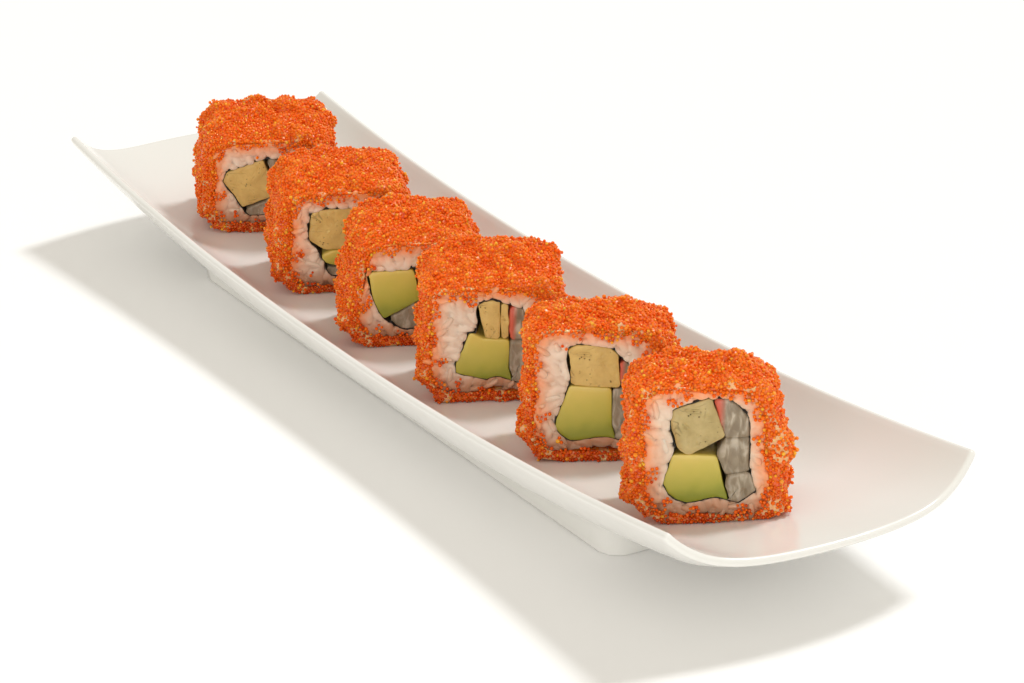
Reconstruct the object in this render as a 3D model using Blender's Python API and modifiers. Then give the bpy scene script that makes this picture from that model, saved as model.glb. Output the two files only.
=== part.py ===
"""Six inside-out sushi rolls, coated with orange roe, in a row on a long white plate.

The plate lies along X, its foot stands on Z = 0 and its centre is the origin. Each roll has an
empty at the middle of its front cut face's lower edge: the roll's X runs to the right along that
cut face, its Y back through the roll and its Z up. Every layer of a roll is a piece of its own
that runs from one cut face to the other.
"""

import math
import random

import bmesh
import bpy
from mathutils import Euler, Matrix, Vector

MM = 0.001
GAP = 0.3 * MM

# The plate: a long dish with straight raised sides, and ends that sweep up and bow outward
PLATE_LENGTH = 361 * MM
PLATE_WIDTH = 92 * MM
END_BOW = 8.5 * MM
FLOOR_HEIGHT = 9.0 * MM
END_HEIGHT = 25.5 * MM
SIDE_HEIGHT = 24.5 * MM
CORNER_HEIGHT = 35.6 * MM
FLOOR_SWEEP = 2.6
SIDE_SWEEP = 2.2
FLAT_SHARE = 0.45
SIDE_CURVE = 2.4
END_CURVE = 5.5
SHELL = 3.8 * MM
LIP_BEVEL = 1.1 * MM
PLATE_COLUMNS = 36
PLATE_ROWS = 16
END_CROWDING = 0.7

# The foot: one rectangular ring under the plate
FOOT_LENGTH = 249 * MM
FOOT_WIDTH = 55 * MM
FOOT_WALL = 5.0 * MM
FOOT_CORNER = 6.0 * MM
FOOT_SPREAD = 1.5 * MM
FOOT_BITE = 1.6 * MM
FOOT_POINTS = 36

# The rolls' layers
SPOKES = 36
COAT_STATIONS = 10
COAT_RELIEF = 0.8 * MM
COAT_SOLE = 1.2 * MM
CUT_EDGE = 1.2 * MM
RICE_RELIEF = 0.45 * MM
RICE_INSET = 0.5 * MM
RICE_CORNER = 5.5 * MM
NORI = 0.5 * MM
NORI_CORNER = 1.6 * MM
STRIP_CORNER = 0.6 * MM

# Each roll, in millimetres on its front cut face: X to the right, Z up from the lower edge.
# coat: lower left, lower right, upper right and upper left corner; coat_skin: its thickness at
# the left, right, top and bottom; swell: how much higher the back is than the front.
ROLLS = {
    "roll_1": dict(
        foot=(151.1, -15.4, 17.4), turn=55.9, lean=-5.0, length=28.0, swell=0.5,
        coat=((-19.5, 0), (21.0, 0), (17.8, 38.3), (-21.2, 37.8)), coat_radii=(12, 7, 9, 9),
        coat_skin=(4.2, 4.4, 1.9, 3.2),
        nori=((-11.3, 9.8), (-6.7, 6.2), (8.5, 6.5), (13.4, 10.5), (10.8, 15), (10.8, 29),
              (6.5, 34), (0, 34.7), (-9, 31), (-10, 17)),
        strips={
            "omelette": ((-9.4, 28.8), (-8.4, 30.3), (0.8, 33.6), (4.3, 24.3), (-4.7, 19.3),
                         (-6.7, 20.6)),
            "avocado": ((-8.2, 18.7), (2.2, 18.6), (4.2, 9.4), (-6.2, 7.0), (-10.8, 10.2)),
            "crab_1": ((1.9, 33.5), (7.5, 33.0), (10.1, 29.2), (10.1, 24.2), (5.0, 24.2)),
            "crab_2": ((2.9, 19.6), (5.0, 23.4), (10.1, 23.4), (10.1, 15.2), (5.0, 14.3)),
            "crab_3": ((5.4, 13.5), (9.9, 14.4), (12.7, 10.4), (8.6, 7.4), (5.2, 8.9)),
        },
    ),
    "roll_2": dict(
        foot=(90.8, -10.5, 11.1), turn=55.1, lean=-4.0, length=26.0, swell=0.5,
        coat=((-20.0, 0), (20.3, 0), (20.3, 38.4), (-20.2, 38.3)), coat_radii=(7, 9, 9, 8),
        coat_skin=(3.0, 5.0, 1.4, 3.0),
        nori=((-11.7, 9.8), (-7.3, 4.8), (11, 5.0), (12, 20), (9.6, 27), (4, 32.8),
              (-4.6, 33.6), (-8.6, 32.4), (-9.7, 20)),
        strips={
            "omelette": ((-7.3, 31.4), (-5.0, 33.0), (2.9, 32.4), (5.2, 30.0), (6.1, 21.8),
                         (-6.4, 22.3)),
            "avocado": ((-6.9, 21.3), (3.5, 21.0), (3.5, 8.5), (-6.0, 7.2), (-11.2, 9.9)),
            "crab_1": ((6.2, 29.6), (9.0, 26.4), (11.3, 21.7), (7.0, 21.7)),
            "crab_2": ((4.4, 20.6), (10.8, 20.6), (10.6, 7.2), (4.4, 7.8)),
        },
    ),
    "roll_3": dict(
        foot=(35.5, -10.7, 9.1), turn=61.2, lean=3.0, length=29.0, swell=3.3,
        coat=((-20.5, 0), (20.0, 0), (20.0, 36.3), (-20.0, 36.3)), coat_radii=(8, 8, 8, 8),
        coat_skin=(2.8, 5.0, 1.9, 3.0),
        nori=((-11.8, 9.8), (-2.5, 4.9), (11.4, 5.2), (11.8, 19), (9, 28.9), (-1, 31.8),
              (-5.4, 29.6), (-8.8, 16.6)),
        strips={
            "omelette_1": ((-3.8, 30.0), (-1.0, 30.9), (1.8, 30.8), (1.8, 20.0), (-2.0, 20.2)),
            "omelette_2": ((2.5, 30.5), (4.3, 29.0), (4.3, 20.0), (2.5, 20.0)),
            "avocado": ((-5.9, 21.3), (-2.8, 19.3), (4.3, 18.9), (3.8, 8.8), (-3.9, 8.4),
                        (-11.2, 10.3)),
            "crab_1": ((5.1, 28.7), (8.3, 28.2), (10.9, 19.4), (5.1, 19.8)),
            "crab_2": ((5.1, 18.6), (10.9, 18.4), (10.6, 6.6), (4.9, 7.2)),
        },
    ),
    "roll_4": dict(
        foot=(-14.4, -9.6, 9.1), turn=64.7, lean=4.0, length=29.0, swell=2.5,
        coat=((-22.0, 0), (21.0, 0), (20.5, 34.0), (-16.8, 34.0)), coat_radii=(8, 8, 9, 9),
        coat_skin=(4.6, 5.0, 1.5, 3.2),
        nori=((-10.9, 14), (-8.2, 7.0), (-2.3, 4.9), (7, 5.2), (9.2, 16), (6, 25), (-0.4, 26.6),
              (-13.6, 25.2), (-14, 22.4)),
        strips={
            "avocado_1": ((-12.2, 23.8), (0.5, 23.9), (2.0, 15.2), (-8.0, 9.8), (-10.3, 14.0)),
            "avocado_2": ((1.5, 25.0), (4.6, 24.2), (7.6, 18.0), (3.4, 16.5)),
            "crab_1": ((-6.4, 9.3), (0.4, 13.0), (6.0, 14.6), (7.4, 9.0), (4.5, 6.4),
                       (-2.8, 6.0)),
        },
    ),
    "roll_5": dict(
        foot=(-62.4, -7.3, 10.2), turn=67.0, lean=5.0, length=29.0, swell=2.5,
        coat=((-22.0, 0), (21.0, 0), (20.8, 34.3), (-20.3, 34.3)), coat_radii=(9, 8, 9, 9),
        coat_skin=(5.0, 3.6, 1.5, 2.2),
        nori=((-11.2, 15), (-9.9, 12.2), (-4.5, 5.2), (7, 4.6), (11.2, 9), (11.4, 27.9),
              (-9.8, 28.4), (-12, 23.4)),
        strips={
            "omelette": ((-9.1, 26.6), (-3.9, 27.5), (4.1, 27.2), (4.4, 14.8), (-5.8, 14.9),
                         (-10.0, 18.5)),
            "avocado": ((-6.6, 12.6), (-3.3, 13.9), (4.4, 13.6), (5.6, 9.6), (1.8, 8.8),
                        (-4.3, 9.9)),
            "crab_1": ((-5.8, 8.5), (5.2, 7.9), (5.6, 5.8), (-3.6, 6.2)),
            "crab_2": ((5.4, 27.0), (10.2, 26.8), (10.2, 10.4), (7.0, 8.6), (6.0, 14.4)),
        },
    ),
    "roll_6": dict(
        foot=(-115.0, -7.7, 14.3), turn=64.5, lean=8.0, length=28.0, swell=2.0,
        coat=((-22.3, 0), (21.8, 0), (22.0, 32.8), (-19.8, 32.8)), coat_radii=(9, 8, 8, 8),
        coat_skin=(4.6, 5.4, 1.6, 2.8),
        nori=((-11.2, 10.4), (-7.2, 5.2), (8, 5.0), (10.2, 20), (4, 26), (-0.6, 26.6),
              (-12, 22.2), (-14.2, 18.4)),
        strips={
            "omelette": ((-13.0, 18.1), (-11.8, 20.7), (-0.8, 24.7), (3.2, 12.9), (-7.6, 9.2),
                         (-9.6, 13.6)),
            "crab_1": ((-6.6, 8.1), (3.6, 11.6), (8.2, 12.2), (7.6, 6.2), (-5.0, 6.3)),
            "crab_2": ((4.4, 13.4), (8.7, 13.6), (9.1, 19.6), (3.2, 24.8), (1.0, 24.4)),
        },
    ),
}

# Base colour and roughness of each material
FINISHES = {
    "porcelain": ((0.80, 0.80, 0.77), 0.15),
    "roe": ((0.86, 0.16, 0.03), 0.25),
    "rice": ((0.80, 0.66, 0.53), 0.45),
    "nori": ((0.02, 0.015, 0.008), 0.6),
    "omelette": ((0.62, 0.48, 0.20), 0.6),
    "avocado": ((0.52, 0.50, 0.11), 0.45),
    "crab": ((0.60, 0.56, 0.50), 0.5),
}


def clear_scene():
    """Remove whatever the opened file holds."""
    for thing in list(bpy.data.objects):
        bpy.data.objects.remove(thing, do_unlink=True)


def new_collection(name):
    """A collection linked to the scene."""
    collection = bpy.data.collections.new(name)
    bpy.context.scene.collection.children.link(collection)
    return collection


def finish(name):
    """The Principled material of one finish, made once."""
    if name in bpy.data.materials:
        return bpy.data.materials[name]
    colour, roughness = FINISHES[name]
    material = bpy.data.materials.new(name)
    material.use_nodes = True
    shader = material.node_tree.nodes["Principled BSDF"]
    shader.inputs["Base Color"].default_value = (*colour, 1.0)
    shader.inputs["Roughness"].default_value = roughness
    shader.inputs["Metallic"].default_value = 0.0
    return material


def plate_height(along, across):
    """Height of the plate's inner surface; both shares run from -1 to 1."""
    floor = FLOOR_HEIGHT + (END_HEIGHT - FLOOR_HEIGHT) * abs(along) ** FLOOR_SWEEP
    side = SIDE_HEIGHT + (CORNER_HEIGHT - SIDE_HEIGHT) * abs(along) ** SIDE_SWEEP
    middle = (max(abs(across) - FLAT_SHARE, 0) / (1 - FLAT_SHARE)) ** SIDE_CURVE
    end = abs(across) ** END_CURVE
    share = middle + (end - middle) * min(abs(along), 1) ** 3
    return floor + (side - floor) * share


def half_length(across):
    """Distance from the plate's middle to its bowed end."""
    return PLATE_LENGTH / 2 + END_BOW * (1 - across * across)


def crowded(share, crowding):
    """Grid steps that get shorter towards both ends."""
    return share + (math.sin(share * math.pi / 2) - share) * crowding


def floor_under(x, y):
    """Height of the plate's inner surface under a point."""
    across = y / (PLATE_WIDTH / 2)
    return plate_height(x / half_length(across), across)


def foot_ring(spread, inset):
    """Points round the foot's rounded rectangle, widened by spread and then inset."""
    half_x = FOOT_LENGTH / 2 + spread - inset
    half_y = FOOT_WIDTH / 2 + spread - inset
    radius = max(FOOT_CORNER + spread - inset, MM)
    corners = ((-half_x, -half_y), (half_x, -half_y), (half_x, half_y), (-half_x, half_y))
    return even_points(rounded(corners, (radius,) * 4), FOOT_POINTS)


def build_plate(collection, cutters):
    """The shell from a bent grid, with its foot ring joined on below."""
    bpy.ops.mesh.primitive_grid_add(
        x_subdivisions=PLATE_COLUMNS, y_subdivisions=PLATE_ROWS, size=2
    )
    plate = bpy.context.object
    plate.name = "plate"
    for vertex in plate.data.vertices:
        along = crowded(vertex.co.x, END_CROWDING)
        across = crowded(vertex.co.y, 1)
        x = along * half_length(across)
        vertex.co = (x, across * PLATE_WIDTH / 2, plate_height(along, across))

    shell = plate.modifiers.new("shell", "SOLIDIFY")
    shell.thickness = SHELL
    shell.offset = -1
    shell.use_even_offset = True
    lip = plate.modifiers.new("lip", "BEVEL")
    lip.width = LIP_BEVEL
    lip.segments = 2
    lip.limit_method = "ANGLE"
    lip.angle_limit = math.radians(50)

    foot = build_foot(cutters)
    join = plate.modifiers.new("foot", "BOOLEAN")
    join.operation = "UNION"
    join.object = foot
    plate.data.materials.append(finish("porcelain"))
    plate.data.shade_smooth()
    plate.data.set_sharp_from_angle(angle=math.radians(40))
    move_to(plate, collection)


def build_foot(cutters):
    """A ring wall from the table up into the shell's underside."""
    loops = []
    for inset, raised in ((0, False), (0, True), (FOOT_WALL, True), (FOOT_WALL, False)):
        spread = FOOT_SPREAD if raised and inset == 0 else 0
        ring = foot_ring(spread, inset)
        top = [floor_under(x, y) - FOOT_BITE for x, y in ring]
        loops.append([(x, y, z if raised else 0) for (x, y), z in zip(ring, top)])
    foot = loft("foot_guide", loops, "porcelain", cutters, joined_ends=True)
    foot.hide_render = True
    foot.display_type = "WIRE"
    return foot


def rounded(corners, radii, steps=6):
    """A closed outline through the corners, each one rounded by its own radius."""
    points = [Vector(corner) for corner in corners]
    outline = []
    for index, corner in enumerate(points):
        to_last = (points[index - 1] - corner).normalized()
        to_next = (points[(index + 1) % len(points)] - corner).normalized()
        half = to_last.angle(to_next) / 2
        radius = radii[index]
        centre = corner + (to_last + to_next).normalized() * radius / math.sin(half)
        first = corner + to_last * radius / math.tan(half) - centre
        last = corner + to_next * radius / math.tan(half) - centre
        start = math.atan2(first.y, first.x)
        sweep = (math.atan2(last.y, last.x) - start + math.pi) % math.tau - math.pi
        for step in range(steps + 1):
            angle = start + sweep * step / steps
            outline.append(centre + radius * Vector((math.cos(angle), math.sin(angle))))
    return outline


def even_points(outline, count):
    """Points spaced evenly along a closed outline."""
    ends = outline[1:] + outline[:1]
    lengths = [(b - a).length for a, b in zip(outline, ends)]
    step = sum(lengths) / count
    points = []
    walked = 0
    for a, b, length in zip(outline, ends, lengths):
        while len(points) < count and len(points) * step <= walked + length:
            share = (len(points) * step - walked) / max(length, 1e-9)
            points.append(a.lerp(b, share))
        walked += length
    return points


def reach(outline, centre, angle):
    """Distance from the centre to a closed outline in one direction."""
    ray = Vector((math.cos(angle), math.sin(angle)))
    farthest = 0
    for a, b in zip(outline, outline[1:] + outline[:1]):
        edge = b - a
        turn = ray.x * edge.y - ray.y * edge.x
        if abs(turn) < 1e-12:
            continue
        offset = a - centre
        distance = (offset.x * edge.y - offset.y * edge.x) / turn
        share = (offset.x * ray.y - offset.y * ray.x) / turn
        if distance > 0 and -1e-6 <= share <= 1 + 1e-6:
            farthest = max(farthest, distance)
    return farthest


def spokes(outline, centre, count, grow=0.0):
    """One outline point for each of count directions round the centre, moved outward."""
    points = []
    for index in range(count):
        angle = math.tau * index / count
        distance = reach(outline, centre, angle) + grow
        points.append(centre + distance * Vector((math.cos(angle), math.sin(angle))))
    return points


def loft(name, loops, finish_name, collection, joined_ends=False, parent=None):
    """A closed body through loops of points: a ring when its ends join, or else capped."""
    mesh = bmesh.new()
    rows = [[mesh.verts.new(point) for point in loop] for loop in loops]
    pairs = list(zip(rows, rows[1:]))
    if joined_ends:
        pairs.append((rows[-1], rows[0]))
    for row, following in pairs:
        for index in range(len(row)):
            after = (index + 1) % len(row)
            mesh.faces.new((row[index], row[after], following[after], following[index]))
    if not joined_ends:
        for row in (rows[0], rows[-1]):
            middle = mesh.verts.new(sum((v.co for v in row), Vector()) / len(row))
            for index in range(len(row)):
                mesh.faces.new((row[index], row[(index + 1) % len(row)], middle))
    bmesh.ops.recalc_face_normals(mesh, faces=mesh.faces)
    data = bpy.data.meshes.new(name)
    mesh.to_mesh(data)
    mesh.free()
    data.materials.append(finish(finish_name))
    body = bpy.data.objects.new(name, data)
    collection.objects.link(body)
    body.parent = parent
    return body


def move_to(thing, collection):
    """Keep an object in one collection only."""
    for holder in list(thing.users_collection):
        holder.objects.unlink(thing)
    collection.objects.link(thing)


def scaled(points):
    """Points given in millimetres, in metres."""
    return [Vector(point) * MM for point in points]


def at_depth(points, depth):
    """Outline points of a cut face, set back into the roll."""
    return [Vector((point.x, depth, point.y)) for point in points]


def swollen(corners, rise):
    """The coat's corners with the upper two lifted."""
    return [corner + Vector((0, rise if corner.y > 0 else 0)) for corner in corners]


def build_coat(name, roll, centre, place, collection, parent):
    """The roe coat: a bumpy ring, its underside laid on the plate."""
    draw = random.Random(name)
    corners = scaled(roll["coat"])
    radii = [radius * MM for radius in roll["coat_radii"]]
    length = roll["length"] * MM
    inner = spokes(rice_outline(roll), centre, SPOKES, GAP)
    outer_loops = []
    for station in range(COAT_STATIONS):
        share = station / (COAT_STATIONS - 1)
        outline = rounded(swollen(corners, roll["swell"] * MM * share), radii)
        at_end = station in (0, COAT_STATIONS - 1)
        loop = []
        for index, point in enumerate(spokes(outline, centre, SPOKES)):
            outward = (point - centre).normalized()
            bump = draw.uniform(-0.4, 0.6) * COAT_RELIEF
            point = point + outward * (bump - (CUT_EDGE * 0.6 if at_end else 0))
            thinnest = (inner[index] - centre).length + GAP * 2
            if (point - centre).length < thinnest:
                point = centre + outward * thinnest
            depth = share * length
            if not at_end:
                depth += draw.uniform(-0.3, 0.3) * COAT_RELIEF
            loop.append(laid_on_plate(Vector((point.x, depth, point.y)), place))
        outer_loops.append(loop)
    loops = outer_loops + [at_depth(inner, length), at_depth(inner, 0)]
    return loft(name + "_roe", loops, "roe", collection, joined_ends=True, parent=parent)


def laid_on_plate(point, place):
    """Move a low point of the coat onto the plate, and keep every other point above it."""
    spot = place @ point
    rest = floor_under(spot.x, spot.y) + GAP
    if point.z < COAT_SOLE or spot.z < rest:
        spot.z = rest
    return place.inverted() @ spot


def rice_outline(roll):
    """The rice's outer outline: the coat's corners moved in by the coat's thickness."""
    left, right, top, bottom = (skin * MM for skin in roll["coat_skin"])
    moves = ((left, bottom), (-right, bottom), (-right, -top), (left, -top))
    corners = [corner + Vector(move) for corner, move in zip(scaled(roll["coat"]), moves)]
    return rounded(corners, (RICE_CORNER,) * 4)


def build_rice(name, roll, centre, collection, parent):
    """The rice ring, with grain-sized bumps on both cut faces."""
    draw = random.Random(name + " rice")
    length = roll["length"] * MM
    outer = spokes(rice_outline(roll), centre, SPOKES)
    inner = nori_wall(roll, centre, NORI / 2 + GAP)
    loops = []
    for depth, outward in ((RICE_INSET, -1), (length - RICE_INSET, 1)):
        face = []
        for share in (0, 0.5, 1):
            ring = []
            for a, b in zip(inner, outer):
                point = a.lerp(b, share)
                bump = outward * draw.uniform(0, 1) * RICE_RELIEF
                ring.append(Vector((point.x, depth + bump, point.y)))
            face.append(ring)
        loops.append(face)
    front, back = loops
    body = front + back[::-1]
    return loft(name + "_rice", body, "rice", collection, joined_ends=True, parent=parent)


def nori_wall(roll, centre, grow):
    """Points round the seaweed's outline, moved outward or inward."""
    outline = rounded(scaled(roll["nori"]), (NORI_CORNER,) * len(roll["nori"]))
    return spokes(outline, centre, SPOKES, grow)


def build_nori(name, roll, centre, collection, parent):
    """The seaweed sheet as a thin ring between the rice and the filling."""
    length = roll["length"] * MM
    outer = nori_wall(roll, centre, NORI / 2)
    inner = nori_wall(roll, centre, -NORI / 2)
    loops = [at_depth(outer, RICE_INSET), at_depth(outer, length - RICE_INSET),
             at_depth(inner, length - RICE_INSET), at_depth(inner, RICE_INSET)]
    return loft(name + "_nori", loops, "nori", collection, joined_ends=True, parent=parent)


def build_strip(name, label, roll, centre, collection, parent):
    """One strip of filling, kept inside the seaweed and uneven at its cut ends."""
    draw = random.Random(name + label)
    length = roll["length"] * MM
    wall = nori_wall(roll, centre, -NORI / 2)
    corners = scaled(roll["strips"][label])
    section = []
    for point in rounded(corners, (STRIP_CORNER,) * len(corners), steps=1):
        outward = point - centre
        limit = reach(wall, centre, math.atan2(outward.y, outward.x)) - GAP
        if outward.length > limit:
            outward.length = limit
        section.append(centre + outward)
    front = RICE_INSET * draw.uniform(0.2, 1.2)
    back = length - RICE_INSET * draw.uniform(0.2, 1.2)
    loops = [at_depth(section, depth) for depth in (front, (front + back) / 2, back)]
    kind = label.split("_")[0]
    return loft(f"{name}_{label}", loops, kind, collection, parent=parent)


def build_roll(name, roll, collection):
    """One roll: its empty, coat, rice, seaweed and filling strips."""
    holder = bpy.data.objects.new(name + "_place", None)
    holder.location = Vector(roll["foot"]) * MM
    holder.rotation_euler = (math.radians(roll["lean"]), 0, math.radians(roll["turn"]))
    collection.objects.link(holder)
    turned = Euler(holder.rotation_euler).to_matrix().to_4x4()
    place = Matrix.Translation(holder.location) @ turned
    corners = scaled(roll["nori"])
    low = min(corner.y for corner in corners)
    high = max(corner.y for corner in corners)
    centre = Vector((0, (low + high) / 2))
    build_coat(name, roll, centre, place, collection, holder)
    build_rice(name, roll, centre, collection, holder)
    build_nori(name, roll, centre, collection, holder)
    for label in roll["strips"]:
        build_strip(name, label, roll, centre, collection, holder)


def main():
    clear_scene()
    tray = new_collection("tray of sushi rolls")
    cutters = new_collection("cutters")
    build_plate(tray, cutters)
    for name, roll in ROLLS.items():
        build_roll(name, roll, tray)


main()
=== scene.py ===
"""Looks for six inside-out sushi rolls on a long white plate.

Each roll's pieces are made in the roll's own frame: X to the right along its front cut face,
Y back through the roll and Z up. Its beads and grains are scattered over the CAD solids that they
stand for, and its fillings are finer skins over the CAD strips' own cut faces.
"""

import math

import bpy
import numpy as np
from mathutils import Euler, Matrix, Vector, noise
from mathutils.bvhtree import BVHTree


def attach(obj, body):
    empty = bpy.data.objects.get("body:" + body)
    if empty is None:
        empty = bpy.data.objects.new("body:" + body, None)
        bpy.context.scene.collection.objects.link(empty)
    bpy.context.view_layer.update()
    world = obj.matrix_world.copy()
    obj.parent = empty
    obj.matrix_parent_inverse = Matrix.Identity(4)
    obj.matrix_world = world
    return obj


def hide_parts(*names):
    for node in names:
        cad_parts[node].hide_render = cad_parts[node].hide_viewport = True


MM = 0.001

# The camera, from a fit to the plate's rim and the rolls' edges in the photograph
AZIMUTH = 59.79
ELEVATION = 22.03
DISTANCE = 936.6 * MM
AIM_RIGHT = 13.98 * MM
AIM_UP = 12.17 * MM
CAMERA_ROLL = -0.80
LENS = 110.74

# Light: a soft key from behind the plate, a wide fill near the camera and a warm surround
KEY_DIRECTION = (-0.066, 0.622, 1.0)
KEY_STRENGTH = 1.6
KEY_ANGLE = 11
KEY_COLOUR = (0.94, 0.95, 0.95)
FILL_SPOT = (1.30, -1.00, 0.45)
FILL_WIDTH = 1.1
FILL_POWER = 8.0
FILL_COLOUR = (1.0, 0.96, 0.90)
SURROUND_COLOUR = (1.0, 0.945, 0.84)
SURROUND_STRENGTH = 0.69

# The plate, as in the CAD source
PLATE_LENGTH = 361 * MM
PLATE_WIDTH = 92 * MM
END_BOW = 8.5 * MM
FLOOR_HEIGHT = 9.0 * MM
END_HEIGHT = 25.5 * MM
SIDE_HEIGHT = 24.5 * MM
CORNER_HEIGHT = 35.6 * MM
FLOOR_SWEEP = 2.6
SIDE_SWEEP = 2.2
FLAT_SHARE = 0.45
SIDE_CURVE = 2.4
END_CURVE = 5.5
SHELL = 3.8 * MM
LIP_SHARE = 0.55
LIP_REACH = 10.0 * MM
LIP_BEVEL = 0.9 * MM
PLATE_COLUMNS = 150
PLATE_ROWS = 60
END_CROWDING = 0.4
FOOT_LENGTH = 249 * MM
FOOT_WIDTH = 55 * MM
FOOT_WALL = 5.0 * MM
FOOT_CORNER = 6.0 * MM
FOOT_SPREAD = 1.5 * MM
FOOT_FILLET = 2.5 * MM
FOOT_BITE = 0.8 * MM
FOOT_STEPS = 9
FOOT_INNER_STEPS = 3
FOOT_FILLET_FROM = 0.35
FOOT_EDGE = 0.5 * MM
FOOT_POINTS = 160

# Roe: beads about a millimetre wide, heaped in lumps over a bed
BEAD_RADIUS = 0.52 * MM
BEAD_SPREAD = 0.16
BEAD_SPREAD_LIMITS = (-0.3, 0.4)
BEAD_GAP = 0.79 * MM
BEAD_TRIES = 40000
BEAD_RISE = 0.08 * MM
BED_INSET = 0.35 * MM
BED_SPLITS = 2
BED_OVERLAP = 0.3 * MM
LUMPS = ((8.5 * MM, 2.4 * MM), (4.2 * MM, 2.7 * MM), (1.9 * MM, 0.6 * MM))
LUMP_ON_CUT = 0.35
LUMP_DIP = 0.5 * MM
LONE_SHARE = 0.05
LONE_LIFT = 0.75 * MM
# A lone bead, lifted over the others, is tinted lighter as painted light
LONE_LIGHT = 0.4
# Patches near the cuts with fewer beads and a pale colour that is partly painted light
BARE_PATCH = 4.0 * MM
BARE_LEVEL = 0.17
BARE_DEPTH = 2.0 * MM
BARE_ODDS = (0.1, 1.6)
SPILL_REACH = 2.4 * MM
SPILL_PATCH = 3.8 * MM
SPILL_RISE = 0.5 * MM
SPILL_TRIES = 6000
TINT_MIDDLE = 0.5
TINT_SPREAD = 0.16
# Beads high on the lumps are tinted lighter and those in the hollows darker: painted light and
# painted shade
LIGHT_BY_HEIGHT = 0.25
# Beads near the plate are tinted darker: painted shade at the roll's bottom
TINT_BY_LOW_SHADE = 0.7
# A share of the beads takes the palest, yellowest tints as painted glints
GLINT_SHARE = 0.08
GLINT_TINT = 0.85

# Rice: short grains side by side in the cut faces, and a few loose ones over them
GRAIN_LENGTH = 5.2 * MM
GRAIN_WIDTH = 2.6 * MM
GRAIN_GAP = 1.9 * MM
GRAIN_TRIES = 3000
GRAIN_RISE = 0.75 * MM
GRAIN_OVERHANG = 0.45
GRAIN_LENGTHS = (0.75, 1.05)
GRAIN_WIDTHS = (0.85, 1.1)
GRAIN_STEP = 0.35
GRAIN_SLOPE = 0.3
GRAIN_FLOOR = -0.3
GRAIN_TILT = 0.35
RICE_SPLITS = 3
RICE_INSET = 0.7 * MM
CUT_DEPTH = 0.9 * MM
RICE_OVERLAP = 0.12 * MM
LOOSE_GAP = 3.6 * MM
LOOSE_SUNK = 0.35 * MM
LOOSE_TILT_SUNK = 1.8 * MM
GRAIN_REACH = 0.1 * MM

# How far the roe's colour spreads into the rice, and how far up from the plate the painted shade
# at the rolls' bottoms reaches
STAIN_REACH = 3.5 * MM
LOW_SHADE_HEIGHT = 4.6 * MM

# How far normals point along the roll on a cut face and near it, and up on a sole
CUT_NORMAL = 0.8
NEAR_CUT_NORMAL = 0.6
SOLE_NORMAL = -0.75

# Where in Blender's noise a random pattern starts
NOISE_STARTS = (0, 50)

# Seaweed and fillings
WEED_POINTS = 200
WEED_THICKNESS = 0.3 * MM
WEED_RAGGED = 0.6 * MM
WEED_RECESS = 0.35 * MM
WEED_FOLD = 2.4 * MM
WEED_WAVE = (1.6 * MM, 0.2 * MM)
WEED_RAG_WIDTH = 1.1 * MM
WEED_STATIONS = 7
PRESS_GAP = 0.95 * MM
PRESS_LIMIT = 2.8 * MM
PRESS_FADE = 5.5 * MM
PRESS_BLUR = 5
FILLING_GROWTH = {"avocado": 0.4 * MM, "omelette": 0.35 * MM, "crab": 0.55 * MM}
FILLING_WOBBLE = {"avocado": 0.08 * MM, "omelette": 0.16 * MM, "crab": 0.28 * MM}
WOBBLE_WIDTH = 1.8 * MM
WALL_REACH = 1.3 * MM
SOLE_REACH = 4.2 * MM
WALL_GAP = 0.02 * MM
FILLING_POINTS = 84
CAP_SHARES = (0.1, 0.2, 0.3, 0.4, 0.5, 0.6, 0.7, 0.79, 0.87, 0.94, 0.98, 1.0)
SIDE_STATIONS = (0.08, 0.3, 0.5, 0.7, 0.92)
ROUNDING_FROM = 0.75
CUT_ROUNDING = {"avocado": 0.25 * MM, "omelette": 0.3 * MM, "crab": 0.6 * MM}

# The fillings whose lower side lies on the seaweed
RESTING = ("roll_1_avocado", "roll_1_crab_3", "roll_2_avocado", "roll_2_crab_2",
           "roll_3_avocado", "roll_3_crab_2")

# Each roll's place (the middle of its front face's lower edge, in millimetres), as in the CAD
# source, and its fillings
ROLLS = {
    "roll_1": dict(foot=(151.1, -15.4, 17.4), turn=55.9, lean=-5.0,
                   fillings=("omelette", "avocado", "crab_1", "crab_2", "crab_3")),
    "roll_2": dict(foot=(90.8, -10.5, 11.1), turn=55.1, lean=-4.0,
                   fillings=("omelette", "avocado", "crab_1", "crab_2")),
    "roll_3": dict(foot=(35.5, -10.7, 9.1), turn=61.2, lean=3.0,
                   fillings=("omelette_1", "omelette_2", "avocado", "crab_1", "crab_2")),
    "roll_4": dict(foot=(-14.4, -9.6, 9.1), turn=64.7, lean=4.0,
                   fillings=("avocado_1", "avocado_2", "crab_1")),
    "roll_5": dict(foot=(-62.4, -7.3, 10.2), turn=67.0, lean=5.0,
                   fillings=("omelette", "avocado", "crab_1", "crab_2")),
    "roll_6": dict(foot=(-115.0, -7.7, 14.3), turn=64.5, lean=8.0,
                   fillings=("omelette", "crab_1", "crab_2")),
}

# The side of a filling that is coloured: an avocado's skin side and a crab stick's red side
COLOURED_SIDE = {"avocado": (0.15, -1.0), "crab": (-1.0, 0.05), "omelette": (-1.0, -0.3)}
RED_CRAB = ("roll_1_crab_1", "roll_2_crab_1", "roll_3_crab_1")
PALE_OMELETTE = "roll_1_omelette"

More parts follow.
